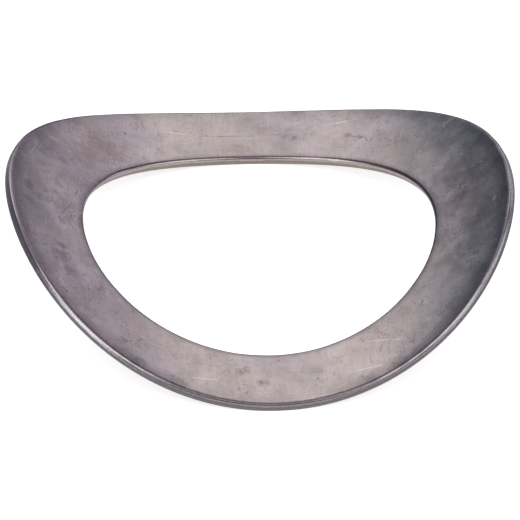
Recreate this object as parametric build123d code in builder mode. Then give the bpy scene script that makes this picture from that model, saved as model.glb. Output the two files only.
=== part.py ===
from build123d import *
import os
from math import cos, pi, sin

# Wave washer: a ring spring with a single wave, also sold as a bow or curved washer. It is one
# piece of thin cold-rolled spring steel, drawn in millimetres.
#
# It is made in two strokes. The ring is blanked and pierced from flat strip, which leaves both
# of its walls square to the sheet. Then it is pressed over a round form, which bends it to one
# arc and carries the walls along with the sheet. So they lean with it, and in plan the round
# blank and its round hole have both become a little shorter across the bend.
#
# The washer lies on its rounded side. The Y axis is the line that it rests on, its two tips
# stand up at +X and -X, and +Z points up, out of its hollow side.

# The flat blank
outside_diameter = 19.05
hole_diameter = 12.8  # still 12.2 across the bend, so the washer slides over a 12 mm shaft
sheet_thickness = 0.305

# The bend
hollow_radius = 13.55  # of the form, and so of the washer's upper, hollow face

# The edges. Both punches enter from the hollow side and draw its two edges down into a small
# round, and the other side keeps the square edges where the steel broke away.
die_roll = 0.08

# A bent sheet keeps its length half way through its thickness.
neutral_radius = hollow_radius + sheet_thickness / 2
form_height = hollow_radius + sheet_thickness  # from the line of rest up to the form's axis

outline_points = 24  # round each circle, which holds its spline to a few ten-thousandths


def bent_circle(diameter):
    """A circle of the flat blank, seen in plan after its sheet is bent over the form."""
    points = []
    for step in range(outline_points):
        turn = 2 * pi * step / outline_points
        over_the_bend = diameter / 2 * cos(turn)
        along_the_form = diameter / 2 * sin(turn)
        points.append((hollow_radius * sin(over_the_bend / neutral_radius), along_the_form))
    return points


# The round form, lying along Y above the washer.
with BuildPart() as form:
    with BuildSketch(Plane.XZ):
        with Locations((0, form_height)):
            Circle(hollow_radius)
    extrude(amount=outside_diameter, both=True)

# The plan of the bent ring, on the ground below the form.
with BuildSketch() as plan:
    with BuildLine():
        Spline(bent_circle(outside_diameter), periodic=True)
    make_face()
    with BuildLine():
        Spline(bent_circle(hole_diameter), periodic=True)
    make_face(mode=Mode.SUBTRACT)

# Straight above its plan, the ring's hollow face lies on the underside of the form, which is
# the first surface that the plan meets on its way up.
hollow_face = plan.face().project_to_shape(form.part, (0, 0, 1))[0]

# The sheet grows outwards from the form and square to it, which sets the lean of both walls.
with BuildPart() as wave_washer:
    thicken(hollow_face, amount=sheet_thickness)
    upper_face = wave_washer.faces().filter_by(GeomType.CYLINDER).sort_by(SortBy.AREA)[0]
    fillet(upper_face.edges(), radius=min(die_roll, sheet_thickness / 2))

os.makedirs("parts", exist_ok=True)
wave_washer.part.label = "wave_washer"
export_step(wave_washer.part, "parts/wave_washer.step")
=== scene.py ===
from math import atan2, cos, pi, radians, sin

import bmesh
import bpy
from mathutils import Matrix, Vector


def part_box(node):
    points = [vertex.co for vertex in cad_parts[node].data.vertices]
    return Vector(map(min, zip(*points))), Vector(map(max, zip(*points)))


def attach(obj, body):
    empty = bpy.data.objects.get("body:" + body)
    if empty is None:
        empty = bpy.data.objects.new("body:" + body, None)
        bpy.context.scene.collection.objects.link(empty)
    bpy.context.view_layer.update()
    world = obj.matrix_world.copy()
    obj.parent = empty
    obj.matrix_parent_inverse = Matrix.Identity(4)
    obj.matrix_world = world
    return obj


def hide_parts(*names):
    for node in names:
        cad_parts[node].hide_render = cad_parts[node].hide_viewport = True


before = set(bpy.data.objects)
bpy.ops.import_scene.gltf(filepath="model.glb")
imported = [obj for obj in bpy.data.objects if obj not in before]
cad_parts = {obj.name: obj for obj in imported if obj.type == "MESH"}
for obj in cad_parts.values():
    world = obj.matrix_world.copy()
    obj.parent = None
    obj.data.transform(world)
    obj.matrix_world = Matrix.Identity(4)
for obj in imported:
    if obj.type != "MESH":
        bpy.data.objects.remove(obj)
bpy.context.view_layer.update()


# The wave washer: a flat ring of spring steel, punched from hard sheet and pressed over a round
# form, so that it lies on the middle of its rounded side with two tips in the air.
# Tumbling after the press left the faces mottled grey, and took the burr off the sheared walls.

mm = 0.001
low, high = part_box("wave_washer")
outside_radius = (high.y - low.y) / 2
hole_radius = 6.4 * mm
sheet = 0.305 * mm
hollow_radius = 13.55 * mm
middle_radius = hollow_radius + sheet / 2
tiny = mm / 1e4

# Where the punch drew the hollow side down, the edge is rounded, twice as wide as it is deep.
# Below it the wall is burnished, then torn, and the torn part leans in under the burnished part.
roll_width = 0.14 * mm
roll_depth = 0.07 * mm
torn_height = 0.13 * mm
torn_lean = 0.025 * mm
broken_edge = 0.012 * mm

# One section of the sheet is drawn taller than it is, and an even round is put on its upper
# corners. Brought down to the real height, the round is as wide and as shallow as it should be.
taller = roll_width / roll_depth
ring = bmesh.new()
corners = []
for radius, height in (
    (hole_radius, 0),
    (outside_radius, 0),
    (outside_radius, sheet * taller),
    (hole_radius, sheet * taller),
):
    corners.append(ring.verts.new((radius, 0, height)))
ring.faces.new(corners)


def round_off(points, width, steps):
    """Rounds the section off at those corners."""
    bmesh.ops.bevel(
        ring,
        geom=points,
        offset=width,
        offset_type="OFFSET",
        segments=steps,
        profile=0.5,
        affect="VERTICES",
        material=-1,
    )


round_off(corners[2:], roll_width, 14)
bmesh.ops.scale(ring, vec=(1, 1, 1 / taller), verts=ring.verts)
lower_corners = [v for v in ring.verts if v.co.z < tiny]
round_off(lower_corners, broken_edge, 3)
bmesh.ops.delete(ring, geom=ring.faces[:], context="FACES_ONLY")
walls = [e for e in ring.edges if abs(e.verts[0].co.x - e.verts[1].co.x) < tiny]
bmesh.ops.subdivide_edges(ring, edges=walls, cuts=7)
faces = [e for e in ring.edges if e.calc_length() > mm]
bmesh.ops.subdivide_edges(ring, edges=faces, cuts=15)

# The torn part of both walls leans in, and the section is spun into the whole ring.
for v in ring.verts:
    under = max(0, 1 - v.co.z / torn_height)
    if v.co.x > outside_radius - 2 * broken_edge:
        v.co.x -= torn_lean * under
    if v.co.x < hole_radius + 2 * broken_edge:
        v.co.x += torn_lean * under
bmesh.ops.spin(
    ring,
    geom=ring.verts[:] + ring.edges[:],
    cent=(0, 0, 0),
    axis=(0, 0, 1),
    angle=2 * pi,
    steps=720,
    use_merge=True,
)
bmesh.ops.remove_doubles(ring, verts=ring.verts, dist=tiny)
bmesh.ops.recalc_face_normals(ring, faces=ring.faces)

# The sheet was drawn down a little more in some places than in others.
for v in ring.verts:
    drawn = sheet - v.co.z
    if drawn < roll_depth + tiny:
        around = atan2(v.co.y, v.co.x)
        uneven = 0.10 * sin(5 * around + 0.7)
        uneven += 0.08 * sin(13 * around)
        uneven += 0.06 * sin(29 * around + 2)
        v.co.z = sheet - drawn * (1 + uneven)

# The finish follows the flat blank, in millimetres, and the distance in from the punched edge,
# so both are kept before the blank is bent over the form.
blank = ring.verts.layers.float_vector.new("blank")
from_edge = ring.verts.layers.float.new("from_edge")
for v in ring.verts:
    radius = v.co.xy.length
    v[blank] = v.co / mm
    v[from_edge] = min(outside_radius - radius, radius - hole_radius) / mm
for v in ring.verts:
    turn = v.co.x / middle_radius
    radius = hollow_radius + sheet - v.co.z
    v.co = Vector((radius * sin(turn), v.co.y, hollow_radius + sheet - radius * cos(turn)))
for f in ring.faces:
    f.smooth = True
washer_mesh = bpy.data.meshes.new("bent_washer")
ring.to_mesh(washer_mesh)
ring.free()
washer = bpy.data.objects.new("bent_washer", washer_mesh)
bpy.context.scene.collection.objects.link(washer)

steel = bpy.data.materials.new("tumbled_spring_steel")
steel.use_nodes = True
tree = steel.node_tree
shader = tree.nodes["Principled BSDF"]


def steel_node(kind, inputs, **settings):
    """A new node of the steel. An input is given a value, or the output that is linked to it."""
    node = tree.nodes.new("ShaderNode" + kind)
    for key, value in settings.items():
        setattr(node, key, value)
    for key, value in inputs.items():
        if isinstance(value, bpy.types.NodeSocket):
            tree.links.new(value, node.inputs[key])
        else:
            node.inputs[key].default_value = value
    return node


def spread(value, start, end, at_start=0, at_end=1):
    """A soft step, as the value goes from start to end."""
    inputs = {
        "Value": value,
        "From Min": start,
        "From Max": end,
        "To Min": at_start,
        "To Max": at_end,
    }
    return steel_node("MapRange", inputs, interpolation_type="SMOOTHSTEP").outputs["Result"]


def maths(operation, *values):
    return steel_node("Math", dict(enumerate(values)), operation=operation).outputs[0]


def noise(scale, detail, stretch=(1, 1, 1), shift=(0, 0, 0), turn=0, roughness=0.55, distortion=0):
    """Noise on the blank. The scale is in lumps a millimetre before the stretch."""
    laid = {"Vector": flat, "Location": shift, "Rotation": (0, 0, turn), "Scale": stretch}
    inputs = {
        "Vector": steel_node("Mapping", laid).outputs[0],
        "Scale": scale,
        "Detail": detail,
        "Roughness": roughness,
        "Distortion": distortion,
    }
    return steel_node("TexNoise", inputs).outputs["Fac"]


def tint(factor, under, over, blend="MIX"):
    inputs = {"Fac": factor, "Color1": under, "Color2": over}
    return steel_node("MixRGB", inputs, blend_type=blend).outputs[0]


flat = steel_node("Attribute", {}, attribute_name="blank").outputs["Vector"]
edge = steel_node("Attribute", {}, attribute_name="from_edge").outputs["Fac"]
across, along, up = steel_node("SeparateXYZ", {0: flat}).outputs

# The mill finish: warm and cool cloudiness, and fine streaks the way the sheet was rolled. The
# tip on the right is painted darker and cooler than the other, and the far side a little darker
# towards the right: painted shade.
clouds = noise(0.26, 3, shift=(7.3, 4.4, 0))
colour = tint(spread(clouds, 0.38, 0.62), (0.545, 0.470, 0.482, 1), (0.562, 0.480, 0.462, 1))
# Painted shade: the face darkens and cools towards the right tip.
from_crown = maths("MULTIPLY_ADD", maths("ABSOLUTE", along), 0.35, across)
right_tip_shade = spread(from_crown, 7.0, 9.5)
either_end = spread(maths("ABSOLUTE", across), 4.2, 8.2)
colour = tint(right_tip_shade, colour, (0.362, 0.358, 0.386, 1))
# Painted shade: the far side of the face a little darker, most towards the right.
far_side_shade = maths("MULTIPLY", spread(along, 4, 9, 0, 0.09), spread(across, -5, 1))
colour = tint(far_side_shade, colour, (0, 0, 0, 1))
streaks = noise(1, 4, stretch=(8.5, 1.0, 1), turn=radians(4))
colour = tint(1, colour, tint(streaks, (0.88, 0.88, 0.88, 1), (1.12, 1.12, 1.12, 1)), "MULTIPLY")

# Mottle left by the heat treatment and the tumbling, coarser and darker towards both ends.
mottle = noise(0.95, 8, stretch=(1, 0.85, 1), roughness=0.62, distortion=0.25)
light_mottle = tint(spread(mottle, 0.30, 0.70), (0.90, 0.895, 0.89, 1), (1.07, 1.075, 1.075, 1))
dark_mottle = tint(spread(mottle, 0.34, 0.66), (0.68, 0.69, 0.70, 1), (1.18, 1.16, 1.14, 1))
ends = maths("MULTIPLY", either_end, spread(across, 3, 8, 0.30, 0.95))
colour = tint(1, colour, tint(ends, light_mottle, dark_mottle), "MULTIPLY")

# A darker band along the punched edges: round the hole, and at both ends outside.
in_plan = steel_node("CombineXYZ", {"X": across, "Y": along}).outputs[0]
from_middle = steel_node("VectorMath", {0: in_plan}, operation="LENGTH").outputs["Value"]
at_hole = spread(from_middle, 8, 7)
rim_width = maths("MULTIPLY_ADD", noise(0.9, 3, shift=(6, 6, 0)), 0.7, 0.12)
rim_width = maths("MULTIPLY_ADD", noise(2.6, 3, shift=(1, 6, 0)), 0.6, rim_width)
rim_width = maths("MULTIPLY", rim_width, maths("MULTIPLY_ADD", at_hole, -0.55, 1))
away_from_crown = spread(maths("ABSOLUTE", across), 1, 5.5, 0.2, 1)
away_from_crown = maths("MAXIMUM", away_from_crown, at_hole)
at_tips = spread(maths("ABSOLUTE", across), 8.5, 9.4)
lip = maths("MULTIPLY", spread(edge, 0.07, 0.02), maths("MULTIPLY_ADD", at_tips, -0.65, 1))
rim = maths("MULTIPLY", spread(edge, rim_width, 0.05), away_from_crown)
rim = maths("MULTIPLY", rim, maths("SUBTRACT", 1, lip))
rim = maths("MULTIPLY", rim, spread(along, 3, 7, 1, 0.65))
rimmed = tint(1, colour, (0.50, 0.48, 0.52, 1), "MULTIPLY")
colour = tint(maths("MULTIPLY", rim, 0.85), colour, rimmed)

# Specks: shallow pits, thinly strewn, and thick in a few places.
speck_field = noise(6.5, 2, shift=(5, 2, 0), stretch=(1, 0.6, 1))
strewn = noise(0.7, 2, shift=(9, 4, 0))
specks = maths("MULTIPLY", spread(speck_field, 0.61, 0.71), spread(strewn, 0.45, 0.68))
colour = tint(maths("MULTIPLY", specks, 0.55), colour, (0.20, 0.17, 0.17, 1))

# Faint crooked lines, where scale from the furnace was knocked off.
crooked = noise(1.5, 3, shift=(4, 9, 0), stretch=(1.5, 0.75, 1), turn=radians(-14), distortion=0.6)
crooked = spread(maths("ABSOLUTE", maths("SUBTRACT", crooked, 0.5)), 0.026, 0)
crooked = maths("MULTIPLY", crooked, spread(noise(0.9, 3, shift=(2, 3, 0)), 0.44, 0.58))
crooked = maths("MULTIPLY", crooked, spread(maths("ABSOLUTE", across), 1, 6, 0.30, 0.50))
colour = tint(crooked, colour, (0.17, 0.14, 0.145, 1))

# Brown stains, dark bruises and paler patches, with ragged edges: place across and along in
# millimetres, radius, depth, kind. The three paler patches near the crown are painted highlights,
# the two further out cleaner steel.
ragged = maths("SUBTRACT", noise(3.4, 5, shift=(2, 7, 0), roughness=0.7), 0.5)
fray = 3.0
patch_masks = {}
for x, y, radius, depth, kind in (
    (3.0, 7.5, 1.5, 0.42, "clean_and_highlight"),
    (-2.5, 7.7, 1.2, 0.30, "clean_and_highlight"),
    (2.4, -7.3, 1.2, 0.15, "clean_and_highlight"),
    (-5.4, 7.3, 1.9, 0.26, "clean_and_highlight"),
    (5.9, 4.6, 1.3, 0.30, "clean_and_highlight"),
    (-5.2, 5.6, 1.2, 0.62, "brown"),
    (-5.9, 5.0, 1.3, 0.58, "brown"),
    (-5.2, 4.6, 0.7, 0.30, "brown"),
    (-0.3, 6.9, 0.62, 0.50, "brown"),
    (0.55, 8.25, 0.44, 0.55, "brown"),
    (0.2, 8.85, 0.32, 0.45, "brown"),
    (1.2, 6.9, 0.70, 0.25, "brown"),
    (1.72, 7.5, 0.24, 0.80, "rust"),
    (1.45, 7.62, 0.20, 0.60, "rust"),
    (3.65, 6.98, 0.22, 0.62, "rust"),
    (4.1, 6.65, 0.22, 0.65, "rust"),
    (3.75, 8.1, 0.25, 0.50, "rust"),
    (3.3, 8.5, 0.22, 0.40, "rust"),
    (1.95, 9.15, 0.24, 0.50, "bruise"),
    (-1.1, -7.5, 0.26, 0.65, "rust"),
    (-0.9, -7.4, 0.26, 0.55, "rust"),
    (-0.42, -8.2, 0.27, 0.75, "rust"),
    (-0.22, -8.2, 0.22, 0.55, "rust"),
    (1.7, -8.3, 0.22, 0.40, "rust"),
    (1.0, -8.2, 0.20, 0.35, "rust"),
    (1.6, -7.6, 0.30, 0.30, "rust"),
    (-2.6, -7.2, 0.36, 0.30, "rust"),
    (-3.4, -7.0, 0.36, 0.30, "rust"),
    (-3.45, -8.75, 0.55, 0.85, "bruise"),
    (-4.9, -8.0, 0.60, 0.85, "bruise"),
    (-5.5, -7.7, 0.50, 0.75, "bruise"),
    (4.55, -8.25, 0.55, 0.80, "bruise"),
    (5.2, -7.85, 0.45, 0.70, "bruise"),
    (3.5, -8.8, 0.40, 0.70, "bruise"),
    (-8.65, 0.75, 0.50, 0.60, "bruise"),
    (-8.3, 0.42, 0.38, 0.65, "bruise"),
    (-7.9, 1.05, 0.24, 0.65, "bruise"),
    (-8.7, -0.3, 0.30, 0.55, "bruise"),
    (-7.3, 0.35, 0.36, 0.35, "bruise"),
    (-7.3, -0.5, 0.24, 0.40, "bruise"),
    (-7.42, -2.2, 0.28, 0.75, "bruise"),
    (-7.55, -2.8, 0.62, 0.60, "bruise"),
    (-7.1, -3.55, 0.48, 0.45, "bruise"),
    (-6.1, -4.1, 0.40, 0.35, "rust"),
    (-7.05, 3.65, 0.32, 0.45, "bruise"),
    (-7.9, 3.7, 0.75, 0.42, "bruise"),
    (-7.5, 4.2, 0.60, 0.30, "rust"),
    (-7.3, 1.9, 0.30, 0.35, "bruise"),
    (-5.8, -1.5, 0.30, 0.45, "bruise"),
    (8.15, 4.75, 0.40, 0.55, "bruise"),
    (7.5, 0.5, 0.50, 0.40, "rust"),
    (7.6, 2.4, 1.30, 0.30, "bruise"),
    (7.9, -2.8, 1.20, 0.20, "bruise"),
):
    between = {0: flat, 1: (x, y, sheet / mm)}
    from_spot = steel_node("VectorMath", between, operation="DISTANCE").outputs["Value"]
    frayed = maths("MULTIPLY_ADD", ragged, radius * fray, from_spot)
    spot = spread(frayed, radius, 0, 0, depth)
    patch_masks[kind] = maths("MAXIMUM", spot, patch_masks.get(kind, 0))
# Paler, warmer patches: painted highlights near the crown, cleaner steel further out.
colour = tint(patch_masks["clean_and_highlight"], colour, (0.68, 0.575, 0.54, 1))
colour = tint(patch_masks["brown"], colour, (0.37, 0.285, 0.230, 1))
colour = tint(patch_masks["rust"], colour, (0.24, 0.175, 0.16, 1))
colour = tint(patch_masks["bruise"], colour, (0.20, 0.178, 0.195, 1))

# Scratches, each a long thin spot: place across and along, length, turn in degrees from the
# x axis, width, depth, kind. A spot fades towards its rim, so it is laid larger than the
# scratch that it shows, and it breaks up where the scratch skipped.
half_length = 0.6
half_width = 1.1
scored = {}
for x, y, length, turn, width, depth, kind in (
    (3.4, 7.93, 1.3, -2, 0.06, 0.60, "bright"),
    (3.0, 7.5, 0.7, 4, 0.04, 0.30, "bright"),
    (-2.5, 7.75, 1.2, 1, 0.06, 0.50, "bright"),
    (-2.4, -8.17, 1.5, 3, 0.06, 0.50, "bright"),
    (3.4, -8.02, 1.9, -1, 0.06, 0.60, "bright"),
    (3.9, -6.5, 1.9, -17, 0.045, 0.5, "bright"),
    (4.6, -6.75, 0.8, -8, 0.05, 0.55, "bright"),
    (5.6, 5.9, 0.9, 75, 0.03, 0.5, "bright"),
    (6.4, 4.6, 1.3, 48, 0.025, 0.5, "bright"),
    (8.8, -0.87, 0.30, 50, 0.07, 0.8, "bright"),
    (8.5, 1.8, 0.40, -40, 0.05, 0.6, "bright"),
    (8.12, 1.85, 0.30, 15, 0.05, 0.5, "bright"),
    (8.45, 0.68, 0.25, -50, 0.05, 0.4, "bright"),
    (7.25, 5.3, 0.30, 70, 0.05, 0.4, "bright"),
    (6.9, 0.6, 1.3, 50, 0.022, 0.5, "bright"),
    (-8.4, 3.2, 0.8, 65, 0.05, 0.35, "bright"),
    (-6.8, 3.1, 1.2, -60, 0.022, 0.5, "bright"),
    (-7.9, -1.0, 0.9, -35, 0.02, 0.5, "bright"),
    (-4.6, -6.2, 1.0, -40, 0.022, 0.5, "bright"),
    (-0.75, 7.8, 2.0, 3, 0.045, 0.75, "dull"),
    (1.05, 7.82, 1.1, -6, 0.04, 0.65, "dull"),
    (3.87, 6.8, 0.6, -38, 0.05, 0.60, "dull"),
    (-6.3, 1.9, 1.5, -62, 0.03, 0.5, "dull"),
    (-7.7, 2.4, 1.1, -50, 0.03, 0.5, "dull"),
    (-6.9, -0.6, 1.3, -66, 0.025, 0.5, "dull"),
    (-5.9, -4.3, 1.2, -50, 0.03, 0.5, "dull"),
    (7.3, -3.9, 1.0, 40, 0.03, 0.4, "dull"),
):
    inputs = {
        "Vector": flat,
        "Location": (x, y, sheet / mm),
        "Rotation": (0, 0, radians(turn)),
        "Scale": (length * half_length, width * half_width, 1),
    }
    line = steel_node("Mapping", inputs, vector_type="TEXTURE").outputs[0]
    from_line = steel_node("VectorMath", {0: line}, operation="LENGTH").outputs["Value"]
    score = spread(from_line, 1, 0.1, 0, depth)
    scored[kind] = maths("MAXIMUM", score, scored.get(kind, 0))
broken_up = spread(noise(5, 3, shift=(1, 8, 0)), 0.36, 0.52, 0.25, 1)
broken_up = maths("MULTIPLY", broken_up, spread(up, 0.16, 0.24))
bright_marks = maths("MULTIPLY", scored["bright"], broken_up)
dull_marks = maths("MULTIPLY", scored["dull"], broken_up)
bright = (0.86, 0.82, 0.78, 1)
colour = tint(dull_marks, colour, (0.16, 0.13, 0.13, 1))
colour = tint(bright_marks, colour, bright)
scratched = maths("MAXIMUM", bright_marks, dull_marks)
fine = maths("MULTIPLY", spread(noise(1, 2, (0.9, 14, 1), turn=radians(4)), 0.64, 0.72), 0.30)
fine_too = maths("MULTIPLY", spread(noise(1, 2, (18, 0.8, 1), turn=radians(9)), 0.67, 0.73), 0.30)
fine = maths("MAXIMUM", fine, fine_too)
colour = tint(maths("MULTIPLY", fine, 0.7), colour, bright)
scratched = maths("MAXIMUM", scratched, fine)

# Tumbling polished the rolled edge, which is painted paler towards both ends: a painted highlight.
# The sheared wall below it is bright where the punch rubbed it, with drag lines, and dull and
# grainy where the last of the sheet tore. At the tips and round the hole the wall is painted
# paler,
# and round the hole warmer too: painted reflected light.
polish = spread(edge, 0.16, 0.02)
# Painted highlight on the polished lip, strongest towards both ends.
rubbed_lip_and_highlight = maths("MULTIPLY", lip, spread(noise(2.2, 3, shift=(8, 3, 0)), 0.35, 0.60, 0.35, 0.85))
rubbed_lip_and_highlight = maths("MULTIPLY", rubbed_lip_and_highlight, spread(maths("ABSOLUTE", across), 2, 5, 0.25, 1))
colour = tint(rubbed_lip_and_highlight, colour, (0.71, 0.66, 0.68, 1))
on_wall = maths("MULTIPLY", spread(edge, 0.06, 0.03), spread(up, 0.245, 0.23))
drag = noise(1, 3, stretch=(14, 14, 0.7))
land = tint(drag, (0.46, 0.43, 0.445, 1), (0.73, 0.68, 0.70, 1))
grain = noise(16, 3, shift=(4, 4, 4))
torn = tint(grain, (0.24, 0.22, 0.23, 1), (0.54, 0.50, 0.51, 1))
tear_line = maths("MULTIPLY_ADD", noise(3.5, 3, shift=(7, 0, 0)), 0.10, up)
in_tear = spread(tear_line, 0.215, 0.19)
wall_colour = tint(in_tear, land, torn)
# Painted highlight: the wall is painted paler at the tips.
wall_colour = tint(at_tips, wall_colour, tint(1, wall_colour, (1.35, 1.32, 1.36, 1), "MULTIPLY"))
# Painted reflected light: round the hole the wall is painted paler and warmer.
wall_colour = tint(at_hole, wall_colour, tint(1, wall_colour, (1.45, 1.36, 1.22, 1), "MULTIPLY"))
colour = tint(on_wall, colour, wall_colour)

# It is duller where it is pitted or torn, and smoother where it is scored or rubbed.
shine = maths("MULTIPLY_ADD", spread(mottle, 0.3, 0.7), -0.07, 0.285)
shine = maths("MULTIPLY_ADD", specks, 0.14, shine)
shine = maths("MULTIPLY_ADD", ends, 0.04, shine)
shine = maths("MULTIPLY_ADD", scratched, -0.06, shine)
shine = maths("MULTIPLY_ADD", polish, -0.05, shine)
shine = maths("MULTIPLY_ADD", maths("MULTIPLY", on_wall, in_tear), 0.16, shine)
tree.links.new(colour, shader.inputs["Base Color"])
tree.links.new(shine, shader.inputs["Roughness"])
shader.inputs["Metallic"].default_value = 1

# The same marks in relief, a micron or two deep.
relief = maths("MULTIPLY_ADD", streaks, 0.5, maths("MULTIPLY", mottle, 1.6))
relief = maths("MULTIPLY_ADD", noise(11, 4, shift=(3, 3, 3)), 0.42, relief)
relief = maths("MULTIPLY_ADD", specks, -0.9, relief)
relief = maths("MULTIPLY_ADD", scratched, -0.5, relief)
wall_relief = maths("MULTIPLY", drag, 1.5)
wall_relief = maths("MULTIPLY_ADD", maths("MULTIPLY", grain, in_tear), 3.0, wall_relief)
relief = maths("MULTIPLY_ADD", on_wall, wall_relief, relief)
bump = steel_node("Bump", {"Height": relief, "Distance": 0.0025 * mm, "Strength": 1})
tree.links.new(bump.outputs["Normal"], shader.inputs["Normal"])
washer_mesh.materials.append(steel)

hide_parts("wave_washer")
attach(washer, "root")


# The floor: a plain white sheet that the washer lies on, far larger than the washer. It is lit
# a little from below, as a light table is, so that the washer's shadow stays faint.
# It is not part of the object.

floor_mesh = bpy.data.meshes.new("floor")
floor_half = 3
plane = bmesh.new()
bmesh.ops.create_grid(plane, x_segments=1, y_segments=1, size=floor_half)
bmesh.ops.translate(plane, vec=(0, 0, low.z), verts=plane.verts)
plane.to_mesh(floor_mesh)
plane.free()
floor = bpy.data.objects.new("floor", floor_mesh)
bpy.context.scene.collection.objects.link(floor)
paper = bpy.data.materials.new("white_paper")
paper.use_nodes = True
paper_sockets = paper.node_tree.nodes["Principled BSDF"].inputs
paper_sockets["Base Color"].default_value = (0.9, 0.9, 0.9, 1)
paper_sockets["Roughness"].default_value = 0.9
paper_sockets["Specular IOR Level"].default_value = 0.1
paper_sockets["Emission Color"].default_value = (1, 1, 1, 1)
paper_sockets["Emission Strength"].default_value = 0.7
floor_mesh.materials.append(paper)
floor.visible_glossy = False


# The light: soft boxes behind the washer, at its sides and in front, all turned to it, so that
# the steel mirrors them in its curve. One more, overhead, only lights the floor. The room round
# them is dim, and darkest a little above the level of the washer.


def soft_box(name, bearing, rise, distance, width, height, glow, colour=(1, 1, 1)):
    """A soft box, with its bearing in degrees from +Y towards +X. Glow is its radiance."""
    bearing, rise = radians(bearing), radians(rise)
    away = Vector((sin(bearing) * cos(rise), cos(bearing) * cos(rise), sin(rise)))
    data = bpy.data.lights.new(name, "AREA")
    data.shape = "RECTANGLE"
    data.size = width
    data.size_y = height
    data.energy = glow * width * height * pi
    data.color = colour
    box = bpy.data.objects.new(name, data)
    box.location = away * distance
    box.rotation_euler = away.to_track_quat("Z", "Y").to_euler()
    bpy.context.scene.collection.objects.link(box)
    return box


soft_box("back_left", -13, 31, 1.2, 0.255, 0.75, 0.82)
soft_box("back", 1, 31, 1.2, 0.255, 0.75, 0.75)
soft_box("back_right", 15, 29, 1.2, 0.255, 0.75, 0.79)
soft_box("right", 28, 22, 1.2, 0.25, 0.6, 0.52, (1, 0.96, 1.08))
soft_box("far_right", 40, 8, 1.2, 0.3, 0.6, 0.42, (1, 0.95, 1.10))
soft_box("left", -25, 22, 1.2, 0.2, 0.5, 0.47, (0.97, 1, 1.05))
soft_box("side_left", -113, 3, 1.15, 0.42, 0.5, 0.6)
soft_box("side_right", 72, 10, 1.15, 0.45, 0.40, 0.75)
soft_box("front_left", -117, 35, 1.2, 1.3, 1.9, 1.05)
soft_box("front_right", 118, 32, 1.2, 1.4, 1.75, 1.0)
overhead = soft_box("overhead", 0, 90, 1.5, 3, 3, 0.25)
overhead.visible_glossy = False

world = bpy.data.worlds.new("room")
bpy.context.scene.world = world
world.use_nodes = True
room = world.node_tree
direction = room.nodes.new("ShaderNodeTexCoord")
parts = room.nodes.new("ShaderNodeSeparateXYZ")
room.links.new(direction.outputs["Generated"], parts.inputs[0])
level = room.nodes.new("ShaderNodeMapRange")
level.inputs["From Min"].default_value = -1
level.inputs["From Max"].default_value = 1
room.links.new(parts.outputs["Z"], level.inputs["Value"])
ramp = room.nodes.new("ShaderNodeValToRGB")
room.links.new(level.outputs["Result"], ramp.inputs["Fac"])
stops = ramp.color_ramp.elements
stops[0].position = 0.27
stops[0].color = (0.50, 0.49, 0.49, 1)
stops[1].position = 1
stops[1].color = (0.32, 0.31, 0.35, 1)
for position, shade in (
    (0.40, (0.17, 0.17, 0.19, 1)),
    (0.53, (0.09, 0.09, 0.12, 1)),
    (0.70, (0.06, 0.06, 0.08, 1)),
):
    stop = stops.new(position)
    stop.color = shade
room.links.new(ramp.outputs["Color"], room.nodes["Background"].inputs["Color"])


# The camera: it stands in front of the washer, a little to the left and well above the floor,
# with a very long lens, so that the washer fills the view with hardly any perspective. It leans
# by a degree.

azimuth = radians(-4.07)
elevation = radians(32.48)
lean = radians(1.04)
distance = 0.3757
aim = Vector((0.061 * mm, 0.112 * mm, low.z))
camera_data = bpy.data.cameras.new("camera")
camera_data.lens = 745
camera_data.sensor_width = 36
camera_data.clip_start = 0.01
camera_data.clip_end = 20
camera = bpy.data.objects.new("camera", camera_data)
back = Vector((sin(azimuth) * cos(elevation), -cos(azimuth) * cos(elevation), sin(elevation)))
turned = Matrix.Rotation(azimuth, 4, "Z")
turned = turned @ Matrix.Rotation(pi / 2 - elevation, 4, "X")
turned = turned @ Matrix.Rotation(lean, 4, "Z")
camera.matrix_world = Matrix.Translation(aim + back * distance) @ turned
bpy.context.scene.collection.objects.link(camera)
bpy.context.scene.camera = camera
bpy.context.scene.view_settings.view_transform = "Standard"
